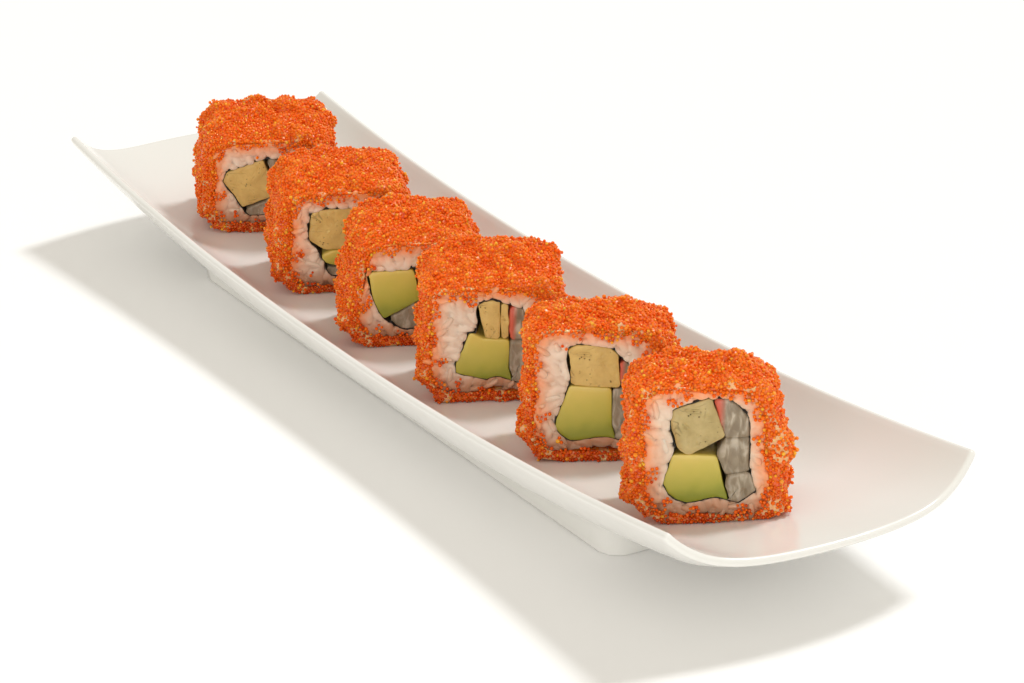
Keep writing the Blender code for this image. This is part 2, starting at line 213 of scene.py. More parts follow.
# Colours, in linear light
GLAZE_SHADES = ((0.80, 0.80, 0.77), (0.83, 0.83, 0.81))
# The beads' colours run from painted shade through their own oranges to painted glints at the
# palest end
BEAD_SHADES = ((0.50, 0.040, 0.003), (0.92, 0.125, 0.006), (0.97, 0.20, 0.010), (1.0, 0.48, 0.05))
BEAD_CLOUD = (1.0, 0.30, 0.025)
BEAD_SHINE = (1.0, 0.72, 0.32)
BED_SHADES = ((0.85, 0.10, 0.006), (0.95, 0.17, 0.014), (0.98, 0.27, 0.035))
# Pale colour of these patches: rice showing through, and painted light
BARE_LIT_BED = (0.97, 0.52, 0.24)
RICE_SHADES = ((0.70, 0.54, 0.42), (0.80, 0.68, 0.56))
RICE_CLOUD = (0.83, 0.73, 0.61)
RICE_STAINED = (0.93, 0.27, 0.045)
# Rice near the plate is darkened towards this: painted shade at the roll's bottom
RICE_LOW_SHADE = (0.33, 0.19, 0.12)
WEED_SHADES = ((0.004, 0.003, 0.002), (0.018, 0.013, 0.007))
EGG_SHADES = ((0.56, 0.37, 0.107), (0.70, 0.50, 0.165))
PALE_EGG_SHADES = ((0.40, 0.30, 0.11), (0.56, 0.44, 0.20))
EGG_BROWNED = (0.45, 0.26, 0.07)
# How dark the pores and creases are painted: painted shade in the recesses
PORE_SHADE = 0.35
AVOCADO_SHADES = ((0.68, 0.52, 0.12), (0.56, 0.47, 0.085), (0.42, 0.39, 0.050),
                  (0.26, 0.28, 0.022))
CRAB_SHADES = ((0.23, 0.175, 0.11), (0.32, 0.26, 0.18), (0.53, 0.46, 0.365))
CRAB_SHADOW = (0.22, 0.17, 0.12)
CRAB_RED = (0.62, 0.085, 0.04)
FLOOR_SHADES = ((0.96, 0.96, 0.965), (0.97, 0.97, 0.975))
WET_INDEX = 1.40

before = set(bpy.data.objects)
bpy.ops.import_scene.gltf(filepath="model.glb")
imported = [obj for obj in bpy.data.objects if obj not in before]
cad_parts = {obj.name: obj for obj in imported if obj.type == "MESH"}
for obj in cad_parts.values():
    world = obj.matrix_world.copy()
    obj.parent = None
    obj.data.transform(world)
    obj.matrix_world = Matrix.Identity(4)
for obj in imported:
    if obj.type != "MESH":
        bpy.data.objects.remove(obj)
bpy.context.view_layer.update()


class Surface:
    """A Principled material that is built up node by node."""

    def __init__(self, name, roughness, coordinates="Object"):
        self.material = bpy.data.materials.new(name)
        self.material.use_nodes = True
        self.tree = self.material.node_tree
        self.shader = self.tree.nodes["Principled BSDF"]
        self.shader.inputs["Roughness"].default_value = roughness
        self.place = self.add("ShaderNodeTexCoord").outputs[coordinates]

    def add(self, kind, **settings):
        """A node with some of its settings changed."""
        node = self.tree.nodes.new(kind)
        for name, value in settings.items():
            setattr(node, name, value)
        return node

    def join(self, source, target):
        """Link an output to an input."""
        self.tree.links.new(source, target)

    def stretched(self, stretch):
        """The object's coordinates, scaled apart along the three axes."""
        mapping = self.add("ShaderNodeMapping")
        mapping.inputs["Scale"].default_value = stretch
        self.join(self.place, mapping.inputs["Vector"])
        return mapping.outputs["Vector"]

    def noise(self, width, detail=3.0, rough=0.5, stretch=None, bend=0.0):
        """Smooth noise whose features are about this wide."""
        node = self.add("ShaderNodeTexNoise")
        node.inputs["Scale"].default_value = 1 / width
        node.inputs["Detail"].default_value = detail
        node.inputs["Roughness"].default_value = rough
        node.inputs["Distortion"].default_value = bend
        self.join(self.stretched(stretch) if stretch else self.place, node.inputs["Vector"])
        return node.outputs["Fac"]

    def cells(self, width, feature="F1", stretch=None):
        """Distance to the nearest of many scattered points."""
        node = self.add("ShaderNodeTexVoronoi", feature=feature)
        node.inputs["Scale"].default_value = 1 / width
        self.join(self.stretched(stretch) if stretch else self.place, node.inputs["Vector"])
        return node.outputs["Distance"]

    def attribute(self, name):
        """A number stored on the mesh."""
        return self.add("ShaderNodeAttribute", attribute_name=name).outputs["Fac"]

    def ramp(self, source, *stops):
        """Colours along a source; each stop is a position and a colour or a grey."""
        node = self.add("ShaderNodeValToRGB")
        elements = node.color_ramp.elements
        while len(elements) < len(stops):
            elements.new(0.5)
        for element, (position, colour) in zip(elements, stops):
            element.position = position
            shade = (colour,) * 3 if isinstance(colour, (int, float)) else colour
            element.color = (*shade, 1.0)
        self.join(source, node.inputs["Fac"])
        return node.outputs["Color"]

    def math(self, operation, first, second):
        """Arithmetic on two sockets or numbers."""
        node = self.add("ShaderNodeMath", operation=operation)
        for value, target in zip((first, second), node.inputs):
            if isinstance(value, (int, float)):
                target.default_value = value
            else:
                self.join(value, target)
        return node.outputs["Value"]

    def mix(self, share, first, second, blend="MIX"):
        """One colour over another."""
        node = self.add("ShaderNodeMix", data_type="RGBA", blend_type=blend)
        share_in, first_in, second_in = node.inputs[0], node.inputs[6], node.inputs[7]
        for value, target in ((share, share_in), (first, first_in), (second, second_in)):
            if isinstance(value, (int, float)):
                target.default_value = value
            elif isinstance(value, tuple):
                target.default_value = (*value, 1.0)
            else:
                self.join(value, target)
        return node.outputs[2]

    def colour(self, source):
        """Set the base colour."""
        self.join(source, self.shader.inputs["Base Color"])

    def bump(self, height, depth, strength=1.0):
        """Add relief below any relief that is already there."""
        node = self.add("ShaderNodeBump")
        node.inputs["Strength"].default_value = strength
        node.inputs["Distance"].default_value = depth
        self.join(height, node.inputs["Height"])
        target = self.shader.inputs["Normal"]
        if target.is_linked:
            self.join(target.links[0].from_socket, node.inputs["Normal"])
        self.join(node.outputs["Normal"], target)

    def glow(self, weight, depth, reach):
        """Light that spreads below the surface."""
        self.shader.inputs["Subsurface Weight"].default_value = weight
        self.shader.inputs["Subsurface Scale"].default_value = depth
        self.shader.inputs["Subsurface Radius"].default_value = reach


def porcelain():
    """White glaze with a faint cream drift and slow waves."""
    surface = Surface("porcelain glaze", 0.16)
    drift = surface.noise(45 * MM, 2)
    surface.colour(surface.ramp(drift, *zip((0.3, 0.7), GLAZE_SHADES)))
    gloss = surface.noise(7 * MM, 3)
    shine = surface.ramp(gloss, (0.3, 0.12), (0.7, 0.2))
    surface.join(shine, surface.shader.inputs["Roughness"])
    surface.bump(surface.noise(22 * MM, 2), 0.10 * MM, 0.5)
    surface.bump(surface.cells(1.1 * MM), 0.02 * MM, 0.25)
    return surface.material


def roe_beads():
    """Glossy, slightly clear orange beads, each with its own tint, which also carries painted
    light, painted shade and painted glints.
    """
    surface = Surface("roe beads", 0.07)
    tint = surface.attribute("tint")
    shade = surface.ramp(tint, *zip((0.0, 0.4, 0.8, 1.0), BEAD_SHADES))
    cloud = surface.ramp(surface.noise(0.5 * MM, 2), (0.45, 0.0), (0.8, 0.35))
    surface.colour(surface.mix(cloud, shade, BEAD_CLOUD))
    surface.shader.inputs["IOR"].default_value = WET_INDEX
    surface.shader.inputs["Specular IOR Level"].default_value = 0.8
    surface.shader.inputs["Specular Tint"].default_value = (*BEAD_SHINE, 1.0)
    surface.glow(0.7, 1.2 * MM, (1.0, 0.35, 0.08))
    return surface.material


def roe_bed():
    """The wet orange mass between the beads, paler in patches near the cuts where rice shows
    through, which is partly painted light.
    """
    surface = Surface("roe bed", 0.25)
    patches = surface.noise(2.5 * MM, 3)
    wet = surface.ramp(patches, *zip((0.30, 0.50, 0.70), BED_SHADES))
    # Pale patches near the cuts, partly painted light
    bare_and_lit = surface.ramp(surface.attribute("bare_and_lit"), (0.2, 0.0), (0.8, 1.0))
    surface.colour(surface.mix(bare_and_lit, wet, BARE_LIT_BED))
    surface.bump(surface.cells(1.0 * MM), 0.5 * MM, 0.8)
    surface.glow(0.6, 1.2 * MM, (1.0, 0.35, 0.1))
    return surface.material


def rice():
    """Moist grains, cream where they are clean, orange near the roe and darker near the plate as
    painted shade.
    """
    surface = Surface("rice", 0.32)
    tint = surface.attribute("tint")
    clean = surface.ramp(tint, *zip((0.0, 1.0), RICE_SHADES))
    cloud = surface.ramp(surface.noise(1.6 * MM, 3), (0.4, 0.0), (0.7, 0.5))
    clean = surface.mix(cloud, clean, RICE_CLOUD)
    stain = surface.math("MULTIPLY", surface.attribute("stain"),
                         surface.ramp(surface.noise(3.0 * MM, 2), (0.3, 0.6), (0.7, 1.0)))
    shade = surface.mix(stain, clean, RICE_STAINED)
    # Darker near the plate: painted shade at the roll's bottom
    low_shade = surface.ramp(surface.attribute("low"), (0.08, 0.0), (0.52, 1.0))
    surface.colour(surface.mix(low_shade, shade, RICE_LOW_SHADE))
    surface.bump(surface.noise(0.9 * MM, 2), 0.08 * MM, 0.5)
    surface.shader.inputs["IOR"].default_value = WET_INDEX
    surface.glow(0.6, 0.8 * MM, (1.0, 0.85, 0.7))
    return surface.material


def seaweed():
    """Near-black sheet with a crinkled, slightly green grain."""
    surface = Surface("seaweed", 0.42)
    grain = surface.noise(0.7 * MM, 5, 0.7)
    surface.colour(surface.ramp(grain, *zip((0.3, 0.7), WEED_SHADES)))
    surface.bump(grain, 0.2 * MM, 0.8)
    return surface.material


def omelette(name, shades):
    """Cooked egg: fine pores and a few creases, darkened as painted shade, and a browned side."""
    surface = Surface(name, 0.5)
    drift = surface.noise(4.5 * MM, 4, 0.55)
    shade = surface.ramp(drift, *zip((0.32, 0.68), shades))
    pores = surface.ramp(surface.cells(1.3 * MM), (0.10, 1.0), (0.20, 0.0))
    some = surface.ramp(surface.noise(4.0 * MM, 2), (0.48, 0.0), (0.60, 1.0))
    holes = surface.math("MULTIPLY", pores, some)
    crease = surface.ramp(surface.noise(9.0 * MM, 2, stretch=(0.7, 1, 1.8), bend=0.8),
                          (0.490, 0.0), (0.5, 1.0), (0.510, 0.0))
    where = surface.ramp(surface.noise(6.0 * MM, 1), (0.50, 0.0), (0.58, 1.0))
    crease = surface.math("MULTIPLY", crease, where)
    marks_and_shade = surface.math("MAXIMUM", holes, surface.math("MULTIPLY", crease, 0.5))
    # Pores and creases darkened: painted shade in the recesses
    shade = surface.mix(marks_and_shade, shade, tuple(PORE_SHADE * part for part in shades[0]))
    side = surface.ramp(surface.attribute("edge"), (0.86, 0.0), (1.0, 0.6))
    surface.colour(surface.mix(side, shade, EGG_BROWNED))
    surface.bump(surface.noise(0.6 * MM, 4, 0.6), 0.14 * MM, 0.7)
    surface.bump(surface.math("SUBTRACT", 1.0, marks_and_shade), 0.35 * MM, 0.9)
    surface.glow(0.25, 1.2 * MM, (1.0, 0.7, 0.3))
    return surface.material


def avocado():
    """Smooth yellow-green flesh, greener towards the skin side."""
    surface = Surface("avocado", 0.36)
    waver = surface.math("ADD", surface.attribute("edge"),
                         surface.math("MULTIPLY", surface.noise(5 * MM, 2), 0.22))
    surface.colour(surface.ramp(waver, *zip((0.15, 0.45, 0.76, 0.95), AVOCADO_SHADES)))
    surface.bump(surface.noise(2.0 * MM, 3, stretch=(1, 1, 0.3)), 0.15 * MM, 0.45)
    surface.glow(0.3, 1.2 * MM, (1.0, 0.8, 0.3))
    return surface.material


def crab():
    """Pale threads with painted shadow in flaky patches, and a red side."""
    surface = Surface("crab", 0.36)
    fibres = surface.noise(2.4 * MM, 3, 0.45, stretch=(1.4, 0.6, 0.6), bend=0.6)
    shade = surface.ramp(fibres, *zip((0.34, 0.5, 0.66), CRAB_SHADES))
    # Painted shadow in flaky patches
    flake_shadow = surface.ramp(surface.noise(3.4 * MM, 2, 0.4), (0.40, 0.4), (0.60, 0.0))
    shade = surface.mix(flake_shadow, shade, CRAB_SHADOW)
    red = surface.ramp(surface.attribute("skin"), (0.66, 0.0), (0.86, 0.9))
    surface.colour(surface.mix(red, shade, CRAB_RED))
    surface.bump(surface.noise(0.9 * MM, 3, stretch=(1.5, 0.6, 0.5)), 0.25 * MM, 0.6)
    surface.glow(0.3, 0.8 * MM, (1.0, 0.7, 0.5))
    return surface.material


def table_top():
    """A plain white studio floor."""
    surface = Surface("studio floor", 0.8)
    drift = surface.noise(0.6, 2)
    surface.colour(surface.ramp(drift, *zip((0.3, 0.7), FLOOR_SHADES)))
    surface.bump(surface.noise(2 * MM, 2), 0.02 * MM, 0.1)
    return surface.material


def plate_height(along, across):
    """Height of the plate's inner surface; both shares run from -1 to 1."""
    floor = FLOOR_HEIGHT + (END_HEIGHT - FLOOR_HEIGHT) * abs(along) ** FLOOR_SWEEP
    side = SIDE_HEIGHT + (CORNER_HEIGHT - SIDE_HEIGHT) * abs(along) ** SIDE_SWEEP
    middle = np.maximum((abs(across) - FLAT_SHARE) / (1 - FLAT_SHARE), 0) ** SIDE_CURVE
    end = abs(across) ** END_CURVE
    share = middle + (end - middle) * np.minimum(abs(along), 1) ** 3
    return floor + (side - floor) * share


def half_length(across):
    """Distance from the plate's middle to its bowed end."""
    return PLATE_LENGTH / 2 + END_BOW * (1 - across * across)


def floor_under(x, y):
    """Height of the plate's inner surface under a point."""
    across = y / (PLATE_WIDTH / 2)
    return plate_height(x / half_length(across), across)


def added(name, data):
    """A new object in the scene."""
    made = bpy.data.objects.new(name, data)
    bpy.context.scene.collection.objects.link(made)
    return made


def mesh_object(name, points, faces, material, place=None, values=None):
    """A smooth mesh from points and faces, with numbers stored on its points."""
    mesh = bpy.data.meshes.new(name)
    mesh.vertices.add(len(points))
    mesh.vertices.foreach_set("co", np.asarray(points, np.float32).ravel())
    mesh.loops.add(faces.size)
    mesh.loops.foreach_set("vertex_index", faces.astype(np.int32).ravel())
    mesh.polygons.add(len(faces))
    starts = np.arange(0, faces.size, faces.shape[1], dtype=np.int32)
    mesh.polygons.foreach_set("loop_start", starts)
    mesh.update(calc_edges=True)
    mesh.shade_smooth()
    for label, numbers in (values or {}).items():
        stored = mesh.attributes.new(label, "FLOAT", "POINT")
        stored.data.foreach_set("value", np.asarray(numbers, np.float32))
    mesh.materials.append(material)
    body = added(name, mesh)
    if place is not None:
        body.matrix_world = place
    return body


def keep(piece, slot, *nodes):
    """Hang a piece on the root, where it stands for these CAD nodes, which are hidden."""
    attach(piece, "root")
    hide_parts(*nodes)


def skinned(rings, joined_ends=False, capped=False):
    """Points and triangles of a skin through rings of equally many points."""
    count = len(rings[0])
    points = np.concatenate(rings)
    starts = [index * count for index in range(len(rings))]
    pairs = list(zip(starts, starts[1:]))
    if joined_ends:
        pairs.append((starts[-1], starts[0]))
    near = np.arange(count)
    after = (near + 1) % count
    faces = []
    for a, b in pairs:
        faces.append(np.stack((a + near, a + after, b + after), 1))
        faces.append(np.stack((a + near, b + after, b + near), 1))
    if capped:
        first_hub = np.full(count, len(points))
        points = np.concatenate((points, [rings[0].mean(0), rings[-1].mean(0)]))
        faces.append(np.stack((after, near, first_hub), 1))
        faces.append(np.stack((starts[-1] + near, starts[-1] + after, first_hub + 1), 1))
    faces = np.concatenate(faces)
    a, b, c = (points[faces[:, side]] for side in range(3))
    if (a * np.cross(b, c)).sum() < 0:
        faces = faces[:, ::-1]
    return points, faces


def waves(points, width, offset=0.0):
    """Noise between about -1 and 1 at many points."""
    moved = points / width + offset
    return np.array([noise.noise(point) for point in moved.tolist()])


def build_plate(material):
    """The glazed shell, thinner towards its rounded lip."""
    shares_x = np.linspace(-1, 1, PLATE_COLUMNS + 1)
    shares_y = np.linspace(-1, 1, PLATE_ROWS + 1)
    along = shares_x + (np.sin(shares_x * math.pi / 2) - shares_x) * END_CROWDING
    along, across = np.meshgrid(along, shares_y, indexing="ij")
    points = np.stack((along * half_length(across), across * PLATE_WIDTH / 2,
                       plate_height(along, across)), -1).reshape(-1, 3)
    stride = PLATE_ROWS + 1
    corner = (np.arange(PLATE_COLUMNS)[:, None] * stride + np.arange(PLATE_ROWS)).ravel()
    faces = np.stack((corner, corner + stride, corner + stride + 1, corner + 1), 1)
    shell = mesh_object("plate_shell", points, faces, material)
    from_end = half_length(across) * (1 - abs(along))
    from_side = PLATE_WIDTH / 2 * (1 - abs(across))
    from_rim = np.clip(np.minimum(from_end, from_side) / LIP_REACH, 0, 1)
    share = LIP_SHARE + (1 - LIP_SHARE) * from_rim
    group = shell.vertex_groups.new(name="thickness")
    for index, weight in enumerate(share.ravel().tolist()):
        group.add((index,), weight, "REPLACE")
    thickness = shell.modifiers.new("shell", "SOLIDIFY")
    thickness.vertex_group = group.name
    thickness.thickness = SHELL
    thickness.offset = -1
    thickness.use_even_offset = True
    lip = shell.modifiers.new("lip", "BEVEL")
    lip.width = LIP_BEVEL
    lip.segments = 4
    lip.limit_method = "ANGLE"
    lip.angle_limit = math.radians(50)
    keep(shell, "porcelain", "plate")


def build_foot(material):
    """The rectangular foot ring, which flares out where it meets the shell's underside."""
    outside = [foot_level(step / FOOT_STEPS, 0, 1) for step in range(FOOT_STEPS + 1)]
    inside = [foot_level(step / FOOT_INNER_STEPS, FOOT_WALL, -0.5)
              for step in range(FOOT_INNER_STEPS + 1)]
    points, faces = skinned(outside + inside[::-1], joined_ends=True)
    foot = mesh_object("plate_foot", points, faces, material)
    foot.data.set_sharp_from_angle(angle=math.radians(50))
    edge = foot.modifiers.new("edge", "BEVEL")
    edge.width = FOOT_EDGE
    edge.segments = 2
    edge.limit_method = "ANGLE"
    edge.angle_limit = math.radians(60)
    keep(foot, "porcelain", "plate")


def foot_level(share, inset, outward):
    """One level of the foot's side, at a share of the way from the table to the shell."""
    rising = max((share - FOOT_FILLET_FROM) / (1 - FOOT_FILLET_FROM), 0)
    fillet = FOOT_FILLET * (1 - math.sqrt(1 - rising ** 2))
    rim = foot_ring((FOOT_SPREAD * share + fillet) * outward - inset)
    top = floor_under(rim[:, 0], rim[:, 1]) - SHELL + FOOT_BITE
    return np.column_stack((rim, top * share))


def foot_ring(spread, steps=10):
    """Points round the foot's rounded rectangle, moved outward."""
    radius = max(FOOT_CORNER + spread, MM)
    half_x = FOOT_LENGTH / 2 + spread - radius
    half_y = FOOT_WIDTH / 2 + spread - radius
    points = []
    for quarter, (sign_x, sign_y) in enumerate(((1, 1), (-1, 1), (-1, -1), (1, -1))):
        for step in range(steps + 1):
            angle = (quarter + step / steps) * math.pi / 2
            points.append((sign_x * half_x + radius * math.cos(angle),
                           sign_y * half_y + radius * math.sin(angle)))
    return evened(np.array(points), FOOT_POINTS)


def evened(points, count):
    """Points spaced evenly along a closed outline."""
    ends = np.roll(points, -1, 0)
    lengths = np.linalg.norm(ends - points, axis=1)
    walked = np.concatenate(((0,), np.cumsum(lengths)))
    targets = np.linspace(0, walked[-1], count, endpoint=False)
    closed = np.concatenate((points, points[:1]))
    return np.stack([np.interp(targets, walked, closed[:, axis]) for axis in range(2)], 1)


def solid(node, place):
    """A CAD node's points and triangles, in the roll's own frame."""
    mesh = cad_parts[node].data
    mesh.calc_loop_triangles()
    points = np.empty(len(mesh.vertices) * 3)
    mesh.vertices.foreach_get("co", points)
    corners = np.empty(len(mesh.loop_triangles) * 3, np.int32)
    mesh.loop_triangles.foreach_get("vertices", corners)
    points, merged = np.unique(points.reshape(-1, 3).round(7), axis=0, return_inverse=True)
    back = np.array(place.inverted())
    points = points @ back[:3, :3].T + back[:3, 3]
    return points, merged.ravel()[corners.reshape(-1, 3)]


def face_normals(points, faces):
    """Unit normals and areas of triangles."""
    a, b, c = (points[faces[:, side]] for side in range(3))
    cross = np.cross(b - a, c - a)
    size = np.linalg.norm(cross, axis=1)
    return cross / np.maximum(size, 1e-15)[:, None], size / 2


def point_normals(points, faces):
    """Normals at points, from the triangles round each."""
    normals, areas = face_normals(points, faces)
    total = np.zeros_like(points)
    for side in range(3):
        np.add.at(total, faces[:, side], normals * areas[:, None])
    return total / np.maximum(np.linalg.norm(total, axis=1), 1e-15)[:, None]


def sprinkled(points, faces, count, draw):
    """Random points over triangles: which triangle each is on, the points and the normals."""
    flat, areas = face_normals(points, faces)
    chosen = draw.choice(len(faces), count, p=areas / areas.sum())
    u, v = draw.random((2, count))
    over = u + v > 1
    u[over], v[over] = 1 - u[over], 1 - v[over]
    a, b, c = (points[faces[chosen, side]] for side in range(3))
    spots = a + (b - a) * u[:, None] + (c - a) * v[:, None]
    return chosen, spots, flat[chosen]


def apart(points, gap):
    """Which points stay when each keeps its distance from those before it."""
    cells = {}
    kept = []
    limit = gap * gap
    around = [(i, j, k) for i in (0, -1, 1) for j in (0, -1, 1) for k in (0, -1, 1)]
    for index, (x, y, z) in enumerate(points.tolist()):
        i, j, k = int(x // gap), int(y // gap), int(z // gap)
        for di, dj, dk in around:
            for px, py, pz in cells.get((i + di, j + dj, k + dk), ()):
                if (px - x) ** 2 + (py - y) ** 2 + (pz - z) ** 2 < limit:
                    break
            else:
                continue
            break
        else:
            cells.setdefault((i, j, k), []).append((x, y, z))
            kept.append(index)
    return np.array(kept)


def bead_shape():
    """The points and faces of an icosahedron on the unit sphere."""
    golden = (1 + math.sqrt(5)) / 2
    corners = []
    for a in (-1, 1):
        for b in (-golden, golden):
            corners += [(0, a, b), (a, b, 0), (b, 0, a)]
    corners = np.array(corners) / math.hypot(1, golden)
    side = 2 / math.hypot(1, golden) * 1.01
    count = len(corners)
    faces = []
    for a in range(count):
        for b in range(a + 1, count):
            for c in range(b + 1, count):
                trio = corners[[a, b, c]]
                if np.linalg.norm(trio - np.roll(trio, 1, 0), axis=1).max() < side:
                    outward = np.dot(np.cross(trio[1] - trio[0], trio[2] - trio[0]), trio[0])
                    faces.append((a, b, c) if outward > 0 else (a, c, b))
    return corners, np.array(faces)


def grain_shape(around=8, along=7):
    """The points and faces of a rice grain: blunt, slightly flat and bent, one unit long."""
    rings = []
    for step in range(1, along):
        angle = math.pi * step / along
        x = -math.cos(angle) / 2
        wide = math.sin(angle) ** 0.75 / 2
        turn = np.linspace(0, math.tau, around, endpoint=False)
        rings.append(np.column_stack((np.full(around, x), wide * np.cos(turn),
                                      0.85 * wide * np.sin(turn) - 0.25 * x * x)))
    points, faces = skinned(rings, capped=True)
    points[-2] = (-0.5, 0, -0.06)
    points[-1] = (0.5, 0, -0.06)
    return points, faces


def random_turns(count, draw):
    """Rotation matrices with evenly random directions."""
    four = draw.normal(size=(count, 4))
    w, x, y, z = (four / np.linalg.norm(four, axis=1)[:, None]).T
    rows = ((1 - 2 * (y * y + z * z), 2 * (x * y - z * w), 2 * (x * z + y * w)),
            (2 * (x * y + z * w), 1 - 2 * (x * x + z * z), 2 * (y * z - x * w)),
            (2 * (x * z - y * w), 2 * (y * z + x * w), 1 - 2 * (x * x + y * y)))
    return np.moveaxis(np.array(rows), 2, 0)


def copies(shape, centres, turns, sizes):
    """Many turned and scaled copies of one shape, joined into one mesh."""
    corners, faces = shape
    points = np.einsum("nij,npj->npi", turns, corners[None] * sizes[:, None])
    points = points + centres[:, None]
    offsets = np.arange(len(centres))[:, None, None] * len(corners)
    return points.reshape(-1, 3), (faces[None] + offsets).reshape(-1, 3)


def above_plate(spots, place, lift):
    """Points raised, where they lie too low, to clear the plate by a lift."""
    turn = np.array(place)
    world = spots @ turn[:3, :3].T + turn[:3, 3]
    rest = floor_under(world[:, 0], world[:, 1]) + lift
    world[:, 2] = np.maximum(world[:, 2], rest)
    back = np.array(place.inverted())
    return world @ back[:3, :3].T + back[:3, 3]


def refined(points, faces, times):
    """A mesh with every triangle split into four, over and over."""
    for _ in range(times):
        edges = np.sort(np.stack((faces, np.roll(faces, -1, 1)), -1).reshape(-1, 2), 1)
        edges, where = np.unique(edges, axis=0, return_inverse=True)
        middle = len(points) + where.reshape(-1, 3)
        points = np.concatenate((points, points[edges].mean(1)))
        (a, b, c), (ab, bc, ca) = faces.T, middle.T
        faces = np.stack((a, ab, ca, ab, b, bc, ca, bc, c, ab, bc, ca), 1).reshape(-1, 3)
    return points, faces


def ring_sides(points, faces):
    """Which triangles of a ring solid are seen, at its cuts and outside, and which line it."""
    flat, _ = face_normals(points, faces)
    centre = (points.min(0) + points.max(0)) / 2
    outward = ((points[faces].mean(1) - centre) * flat)[:, (0, 2)].sum(1) > 0
    at_cut = abs(flat[:, 1]) > NEAR_CUT_NORMAL
    return (at_cut | outward) & (flat[:, 2] > SOLE_NORMAL), ~at_cut & ~outward


def lumpy_bed(name, place):
    """The roe's solid with lumps on its outside, and where its points lie in patches without roe,
    which also stand for painted light.
    """
    points, faces = solid(name + "_roe", place)
    seen, lining = (np.repeat(side, 4 ** BED_SPLITS) for side in ring_sides(points, faces))
    points, faces = refined(points, faces, BED_SPLITS)
    normals = point_normals(points, faces[seen])
    at_cut = np.clip((abs(normals[:, 1]) - 0.5) * 4, 0, 1)
    lumps = sum(waves(points, width) * height for width, height in LUMPS)
    lumps = np.maximum(lumps, -LUMP_DIP) * (1 - (1 - LUMP_ON_CUT) * at_cut)
    front, back = points[:, 1].min(), points[:, 1].max()
    from_cut = np.minimum(points[:, 1] - front, back - points[:, 1])
    near_cut = np.clip(1.3 - from_cut / BARE_DEPTH, 0, 1)
    # Patches near the cuts: fewer beads there, and a pale colour that is partly painted light
    bare_and_lit = near_cut * (waves(points, BARE_PATCH, 21.0) > BARE_LEVEL)
    inward = point_normals(points, faces[lining]) * BED_OVERLAP
    points = points + normals * (lumps - BED_INSET)[:, None] + inward
    return points, faces, seen, lumps, bare_and_lit


def build_roe(name, place, materials, draw):
    """The bed of roe and its beads, which also spill over the rice near by."""
    node = name + "_roe"
    points, faces, seen, lumps, bare_and_lit = lumpy_bed(name, place)
    bed = mesh_object("bed_" + name, points, faces, materials["bed"], place, {"bare_and_lit": bare_and_lit})
    keep(bed, "roe", node)

    chosen, spots, normals = sprinkled(points, faces[seen], BEAD_TRIES, draw)
    corners = faces[seen][chosen]
    height = lumps[corners].mean(1) / LUMPS[1][1]
    covered = bare_and_lit[corners].mean(1) < draw.uniform(*BARE_ODDS, len(spots))
    spots, normals, height = (x[covered] for x in (spots, normals, height))
    spots = spots + normals * BEAD_RISE
    kept = apart(spots, BEAD_GAP)
    spots, normals, height = (x[kept] for x in (spots, normals, height))

    lone = draw.random(len(spots)) < LONE_SHARE
    spilt = spilt_beads(name, place, draw)
    spots = np.concatenate((spots, spots[lone] + normals[lone] * LONE_LIFT, spilt))
    height = np.concatenate((height, height[lone] + LONE_LIGHT, np.zeros(len(spilt))))

    spots = above_plate(spots, place, BEAD_RADIUS)
    count = len(spots)
    sizes = BEAD_RADIUS * (1 + draw.normal(0, BEAD_SPREAD, count).clip(*BEAD_SPREAD_LIMITS))
    sizes = np.repeat(sizes[:, None], 3, 1)
    shape = bead_shape()
    beads, faces = copies(shape, spots, random_turns(count, draw), sizes)
    # Each bead's tint: its own random tone, lighter high on the lumps as painted light, darker in
    # the hollows and near the plate as painted shade
    tint = TINT_MIDDLE + TINT_SPREAD * draw.normal(size=count)
    tint = (tint + LIGHT_BY_HEIGHT * height - TINT_BY_LOW_SHADE * low_shade(spots)).clip(0, GLINT_TINT)
    # Painted glints: a share of the beads takes the palest tints
    glinting = draw.random(count) < GLINT_SHARE
    tint[glinting] = draw.uniform(GLINT_TINT, 1.0, glinting.sum())
    tint = np.repeat(tint, len(shape[0]))
    piece = mesh_object("beads_" + name, beads, faces, materials["beads"], place, {"tint": tint})
    keep(piece, "roe", node)


def spilt_beads(name, place, draw):
    """Beads on the rice's cut faces, close to the roe and in patches."""
    points, faces = solid(name + "_rice", place)
    flat, _ = face_normals(points, faces)
    cuts = faces[abs(flat[:, 1]) > CUT_NORMAL]
    _, spots, normals = sprinkled(points, cuts, SPILL_TRIES, draw)
    distance = distances(spots, solid(name + "_roe", place))
    patch = waves(spots, SPILL_PATCH, 3.1)
    near = distance < SPILL_REACH * (0.5 + 3.2 * np.maximum(patch, -0.1))
    spots = spots[near] + normals[near] * SPILL_RISE
    return spots[apart(spots, BEAD_GAP)]


def distances(spots, body):
    """Distance from each point to a solid."""
    tree = search_tree(*body)
    return np.array([tree.find_nearest(Vector(spot))[3] for spot in spots])


def search_tree(points, faces):
    """A tree that finds nearest points and ray hits on a solid."""
    return BVHTree.FromPolygons([Vector(point) for point in points], faces.tolist())


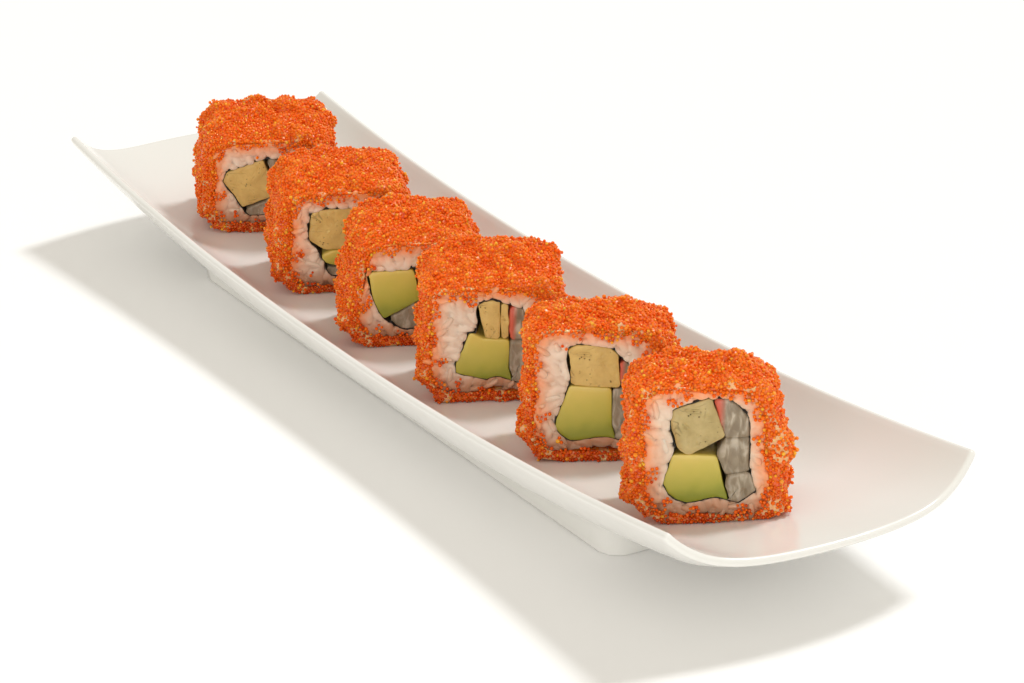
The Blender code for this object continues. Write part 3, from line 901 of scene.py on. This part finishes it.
def build_rice(name, place, weed, materials, draw):
    """The rice ring with its cut faces raised into grains, and loose grains over them."""
    node = name + "_rice"
    cad_points, cad_faces = solid(node, place)
    flat, _ = face_normals(cad_points, cad_faces)
    cuts = cad_faces[abs(flat[:, 1]) > CUT_NORMAL]
    roe = solid(name + "_roe", place)

    lining = np.repeat(ring_sides(cad_points, cad_faces)[1], 4 ** RICE_SPLITS)
    points, faces = refined(cad_points, cad_faces, RICE_SPLITS)
    inward = point_normals(points, faces[lining])
    points = points + inward * RICE_OVERLAP
    middle = (cad_points[:, 1].min() + cad_points[:, 1].max()) / 2
    half = cad_points[:, 1].max() - middle
    tint = np.zeros(len(points))
    _, spots, normals = sprinkled(cad_points, cuts, GRAIN_TRIES, draw)
    for side in (-1, 1):
        cut = (points[:, 1] - middle) * side > half - CUT_DEPTH
        centres = spots[normals[:, 1] * side > 0]
        centres = centres[apart(centres, GRAIN_GAP)]
        rise, tint[cut] = grain_field(points[cut][:, (0, 2)], centres[:, (0, 2)], draw)
        points[cut] += inward[cut] * (rise * GRAIN_OVERHANG)[:, None]
        points[cut, 1] += side * (rise - RICE_INSET)
    # The low number darkens the rice near the plate as painted shade
    values = {"tint": tint, "stain": stained(points, roe), "low": low_shade(points)}
    points = pressed_in(points, weed)
    bed = mesh_object("ricebed_" + name, points, faces, materials["rice"], place, values)
    keep(bed, "rice", node)

    kept = apart(spots, LOOSE_GAP)
    spots, normals = spots[kept], normals[kept]
    turns = grain_turns(len(spots), draw)
    sizes = np.array((GRAIN_LENGTH, GRAIN_WIDTH, GRAIN_WIDTH * 0.9))
    sizes = sizes * draw.uniform(*GRAIN_LENGTHS, (len(spots), 3))
    inside = clear_of_seaweed(weed, spots, turns[:, :, 0] * sizes[:, :1] / 2)
    spots, normals, turns, sizes = (x[inside] for x in (spots, normals, turns, sizes))
    spots = pressed_in(spots, weed)
    sunk = LOOSE_SUNK + abs(turns[:, 1, 0]) * LOOSE_TILT_SUNK
    spots[:, 1] -= np.sign(normals[:, 1]) * sunk
    shape = grain_shape()
    grains, faces = copies(shape, spots, turns, sizes)
    values = {
        "tint": np.repeat(draw.random(len(spots)), len(shape[0])),
        "stain": stained(grains, roe),
        "low": low_shade(grains),
    }
    piece = mesh_object("grains_" + name, grains, faces, materials["rice"], place, values)
    keep(piece, "rice", node)


def low_shade(points):
    """How close points are to the plate below them, for the painted shade at the rolls' bottoms.
    """
    return np.exp(-np.maximum(points[:, 2], 0) / LOW_SHADE_HEIGHT)


def stained(points, roe):
    """How far the roe's colour has spread into the rice at points."""
    return np.exp(-(distances(points, roe) / STAIN_REACH) ** 2)


def grain_field(points, centres, draw):
    """How far grains lying side by side stand out at points of a cut face, and their tints."""
    count = len(centres)
    angle = draw.uniform(0, math.tau, count)
    along = np.stack((np.cos(angle), np.sin(angle)), 1)
    long_half = GRAIN_LENGTH / 2 * draw.uniform(*GRAIN_LENGTHS, count)
    wide_half = GRAIN_WIDTH / 2 * draw.uniform(*GRAIN_WIDTHS, count)
    offset = points[:, None] - centres
    u = (offset * along).sum(2) / long_half
    v = (offset[:, :, 1] * along[:, 0] - offset[:, :, 0] * along[:, 1]) / wide_half
    dome = np.sqrt(np.maximum(1 - abs(u) ** 2.5 - v * v, 0))
    step = draw.uniform(-GRAIN_STEP, GRAIN_STEP, count)
    rise = dome + step + u * draw.uniform(-GRAIN_SLOPE, GRAIN_SLOPE, count)
    rise = np.where(dome > 0, rise, GRAIN_FLOOR) * GRAIN_RISE
    return rise.max(1), draw.random(count)[rise.argmax(1)]


def polar(points, middle):
    """Angles and distances of points round a middle."""
    offset = points - middle
    return np.arctan2(offset[:, 1], offset[:, 0]), np.linalg.norm(offset, axis=1)


def outward_from(middle, points):
    """Unit vectors from a middle towards points."""
    return (points - middle) / np.linalg.norm(points - middle, axis=1)[:, None]


def clear_of_seaweed(weed, spots, half):
    """Which grains have both ends outside the seaweed's ring."""
    around, wall = polar(weed["loose"], weed["middle"])
    clear = np.ones(len(spots), bool)
    for end in (spots + half, spots - half):
        angle, reach = polar(end[:, (0, 2)], weed["middle"])
        clear &= reach > np.interp(angle, around, wall, period=math.tau) - GRAIN_REACH
    return clear


def pressed_in(points, weed):
    """Points of the rice moved in with the seaweed, less so farther away from it."""
    around, wall = polar(weed["loose"], weed["middle"])
    press = wall - polar(weed["pressed"], weed["middle"])[1]
    angle, reach = polar(points[:, (0, 2)], weed["middle"])
    beyond = reach - np.interp(angle, around, wall, period=math.tau)
    share = np.clip(1 - beyond / PRESS_FADE, 0, 1)
    step = np.interp(angle, around, press, period=math.tau) * share / reach
    moved = points.copy()
    moved[:, (0, 2)] -= (points[:, (0, 2)] - weed["middle"]) * step[:, None]
    return moved


def grain_turns(count, draw):
    """Rotations that lay most grains nearly flat in the cut face."""
    turns = []
    for _ in range(count):
        about = draw.uniform(0, math.tau)
        tilt = draw.normal(0, GRAIN_TILT)
        turn = Euler((draw.uniform(0, math.tau), 0, tilt)).to_matrix()
        turns.append(Matrix.Rotation(about, 3, "Y") @ turn)
    return np.array(turns)


def front_outline(node, place):
    """The points of a solid's front face, in order round it, and its depths."""
    points, _ = solid(node, place)
    front, back = points[:, 1].min(), points[:, 1].max()
    loop = points[points[:, 1] < front + 0.05 * MM][:, (0, 2)]
    middle = (loop.min(0) + loop.max(0)) / 2
    around, _ = polar(loop, middle)
    return loop[np.argsort(around)], front, back


def ring_outline(node, place):
    """A ring solid's outer outline half way through it, its middle and its depths."""
    points, faces = solid(node, place)
    front, back = points[:, 1].min(), points[:, 1].max()
    low, high = points.min(0), points.max(0)
    middle = Vector(((low[0] + high[0]) / 2, (front + back) / 2, (low[2] + high[2]) / 2))
    tree = search_tree(points, faces)
    outline = []
    for angle in np.linspace(0, math.tau, WEED_POINTS, endpoint=False):
        far = Vector((math.cos(angle), 0, math.sin(angle))) * (high[0] - low[0]) * 2
        hit = tree.ray_cast(middle + far, -far)[0]
        outline.append((hit.x, hit.z))
    return np.array(outline), np.array((middle.x, middle.z)), front, back


def seaweed_path(name, place):
    """The seaweed's outline, loose as in the CAD and pressed in towards the fillings."""
    loose, middle, front, back = ring_outline(name + "_nori", place)
    wall = np.linalg.norm(loose - middle, axis=1)
    centre = Vector((middle[0], (front + back) / 2, middle[1]))
    filled = np.zeros(WEED_POINTS)
    for label in ROLLS[name]["fillings"]:
        tree = search_tree(*solid(f"{name}_{label}", place))
        for index, (x, z) in enumerate((loose - middle).tolist()):
            away = Vector((x, 0, z))
            hit = tree.ray_cast(centre + away, -away, away.length)[0]
            if hit is not None:
                filled[index] = max(filled[index], (hit - centre).length)
    near = range(-PRESS_BLUR, PRESS_BLUR + 1)
    gap = np.min([np.roll(wall - filled - PRESS_GAP, step) for step in near], 0)
    gap = np.mean([np.roll(gap, step) for step in near], 0)
    press = np.clip(gap, 0, PRESS_LIMIT)
    pressed = middle + (loose - middle) * (1 - press / wall)[:, None]
    return dict(loose=loose, pressed=pressed, middle=middle, front=front, back=back)


def build_seaweed(name, place, weed, materials, draw):
    """The dark sheet, thin and ragged at both cuts."""
    front, back = weed["front"], weed["back"]
    outer = evened(weed["pressed"], WEED_POINTS)
    outward = outward_from(weed["middle"], outer)
    spot = np.column_stack((outer, np.zeros(WEED_POINTS)))
    wave_width, wave_height = WEED_WAVE
    rough = waves(spot, wave_width, draw.uniform(*NOISE_STARTS))
    outer = outer + outward * (rough * wave_height)[:, None]
    rings = []
    stations = np.linspace(0, 1, WEED_STATIONS)
    for inset, order in ((0.0, stations), (WEED_THICKNESS, stations[::-1])):
        for station in order:
            ends = abs(2 * station - 1) ** 4
            ragged = waves(spot, WEED_RAG_WIDTH, draw.uniform(*NOISE_STARTS)) * WEED_RAGGED
            inward = (ragged + WEED_RECESS) * ends * (1 if station < 0.5 else -1)
            depth = front + (back - front) * station + inward
            fold = WEED_FOLD * (1 - abs(2 * station - 1)) if inset else 0
            ring = outer - outward * (inset + fold)
            rings.append(np.column_stack((ring[:, 0], depth, ring[:, 1])))
    points, faces = skinned(rings, joined_ends=True)
    piece = mesh_object("seaweed_" + name, points, faces, materials["nori"], place)
    keep(piece, "nori", name + "_nori")


def relief(kind, ring, offset):
    """How far a cut face stands out at the points of one ring."""
    spot = np.column_stack((ring[:, 0], np.full(len(ring), offset), ring[:, 1]))
    if kind == "crab":
        fibres = waves(spot * (1.3, 1, 0.7), 4.0 * MM)
        split = np.maximum(waves(spot * (1.2, 1, 0.7), 3.2 * MM, 5.0) - 0.25, 0)
        return fibres * 0.3 * MM - split * 1.6 * MM
    if kind == "omelette":
        swell = waves(spot, 4.0 * MM) * 0.3 * MM
        pits = np.maximum(waves(spot, 1.3 * MM, 9.0) - 0.35, 0)
        return swell - pits * 1.2 * MM
    return waves(spot, 5.0 * MM) * 0.15 * MM


def pressed_to_seaweed(outline, ring, middle, sole_reach):
    """A filling's outline with its points near the seaweed moved out to touch it."""
    around, ring_reach = polar(ring, middle)
    angle, reach = polar(outline, middle)
    wall = np.interp(angle, around, ring_reach, period=math.tau)
    wall = wall - WEED_THICKNESS - WALL_GAP
    down = np.clip((-np.sin(angle) - 0.5) * 3, 0, 1)
    limit = WALL_REACH + (sole_reach - WALL_REACH) * down
    share = np.clip((limit - (wall - reach)) / MM, 0, 1)
    return middle + (outline - middle) * (1 + share * (wall - reach) / reach)[:, None]


def build_filling(name, label, place, weed, materials, draw):
    """One strip of filling: a skin over the CAD strip's own section, uneven at both cuts."""
    node = f"{name}_{label}"
    kind = label.split("_")[0]
    loop, front, back = front_outline(node, place)
    middle = loop.mean(0)
    loop = loop[np.linalg.norm(loop - middle, axis=1) > 0.6 * MM]
    outline = evened(loop, FILLING_POINTS)
    spot = np.column_stack((outline, np.zeros(FILLING_POINTS)))
    away = outward_from(middle, outline)
    wobble = waves(spot, WOBBLE_WIDTH, draw.uniform(*NOISE_STARTS)) * FILLING_WOBBLE[kind]
    outline = outline + away * (FILLING_GROWTH[kind] + wobble)[:, None]
    sole_reach = SOLE_REACH if node in RESTING else WALL_REACH
    outline = pressed_to_seaweed(outline, weed["pressed"], weed["middle"], sole_reach)
    rings = []
    for depth, outward, shares in ((front, -1, CAP_SHARES), (back, 1, CAP_SHARES[::-1])):
        seed = draw.uniform(*NOISE_STARTS) * MM
        for share in shares:
            ring = middle + (outline - middle) * share
            near_edge = max((share - ROUNDING_FROM) / (1 - ROUNDING_FROM), 0)
            rounding = CUT_ROUNDING[kind] * near_edge ** 3
            out = relief(kind, ring, seed) * min((1 - share) / 0.1 + 0.35, 1) - rounding
            rings.append(np.column_stack((ring[:, 0], depth + outward * out, ring[:, 1])))
        if outward < 0:
            for station in SIDE_STATIONS:
                depths = np.full(FILLING_POINTS, front + (back - front) * station)
                rings.append(np.column_stack((outline[:, 0], depths, outline[:, 1])))
    points, faces = skinned(rings, capped=True)
    side = np.array(COLOURED_SIDE[kind])
    toward = points[:, (0, 2)] @ (side / np.linalg.norm(side))
    edge = (toward - toward.min()) / (toward.max() - toward.min())
    skin = edge if node in RED_CRAB else np.zeros(len(edge))
    values = {"edge": edge, "skin": skin}
    material = materials["pale omelette" if node == PALE_OMELETTE else kind]
    piece = mesh_object("filling_" + node, points, faces, material, place, values)
    keep(piece, kind, node)


def build_roll(name, roll, materials):
    """All the pieces of one roll."""
    turn = Euler((math.radians(roll["lean"]), 0, math.radians(roll["turn"])))
    place = Matrix.Translation(Vector(roll["foot"]) * MM) @ turn.to_matrix().to_4x4()
    draw = np.random.default_rng(int(name[-1]))
    build_roe(name, place, materials, draw)
    weed = seaweed_path(name, place)
    build_rice(name, place, weed, materials, draw)
    build_seaweed(name, place, weed, materials, draw)
    for label in roll["fillings"]:
        build_filling(name, label, place, weed, materials, draw)


def build_stage():
    """The floor, the lights and the camera."""
    points = np.array(((-1, -1, 0), (1, -1, 0), (1, 1, 0), (-1, 1, 0))) * 4.0
    floor = mesh_object("studio_floor", points, np.array(((0, 1, 2, 3),)), table_top())

    world = bpy.data.worlds.new("surround")
    bpy.context.scene.world = world
    world.use_nodes = True
    background = world.node_tree.nodes["Background"]
    background.inputs["Color"].default_value = (*SURROUND_COLOUR, 1.0)
    background.inputs["Strength"].default_value = SURROUND_STRENGTH

    light = bpy.data.lights.new("key", "SUN")
    light.energy = KEY_STRENGTH
    light.angle = math.radians(KEY_ANGLE)
    light.color = KEY_COLOUR
    key = added("key", light)
    key.rotation_euler = Vector(KEY_DIRECTION).to_track_quat("Z", "Y").to_euler()

    panel = bpy.data.lights.new("fill", "AREA")
    panel.size = FILL_WIDTH
    panel.energy = FILL_POWER
    panel.color = FILL_COLOUR
    fill = added("fill", panel)
    fill.location = FILL_SPOT
    fill.rotation_euler = Vector(FILL_SPOT).to_track_quat("Z", "Y").to_euler()

    azimuth, elevation = math.radians(AZIMUTH), math.radians(ELEVATION)
    right = Vector((math.cos(azimuth), math.sin(azimuth), 0))
    back = Vector((math.sin(azimuth) * math.cos(elevation),
                   -math.cos(azimuth) * math.cos(elevation), math.sin(elevation)))
    up = back.cross(right)
    data = bpy.data.cameras.new("camera")
    data.lens = LENS
    data.clip_start = 0.01
    camera = added("camera", data)
    axes = Matrix((right, up, back)).transposed().to_4x4()
    spot = Matrix.Translation(back * DISTANCE + right * AIM_RIGHT + up * AIM_UP)
    camera.matrix_world = spot @ axes @ Matrix.Rotation(math.radians(CAMERA_ROLL), 4, "Z")
    bpy.context.scene.camera = camera
    bpy.context.scene.view_settings.view_transform = "Standard"


def main():
    """Everything in the picture."""
    build_stage()
    materials = {
        "beads": roe_beads(),
        "bed": roe_bed(),
        "rice": rice(),
        "nori": seaweed(),
        "omelette": omelette("omelette", EGG_SHADES),
        "pale omelette": omelette("pale omelette", PALE_EGG_SHADES),
        "avocado": avocado(),
        "crab": crab(),
    }
    glaze = porcelain()
    build_plate(glaze)
    build_foot(glaze)
    for name, roll in ROLLS.items():
        build_roll(name, roll, materials)


main()
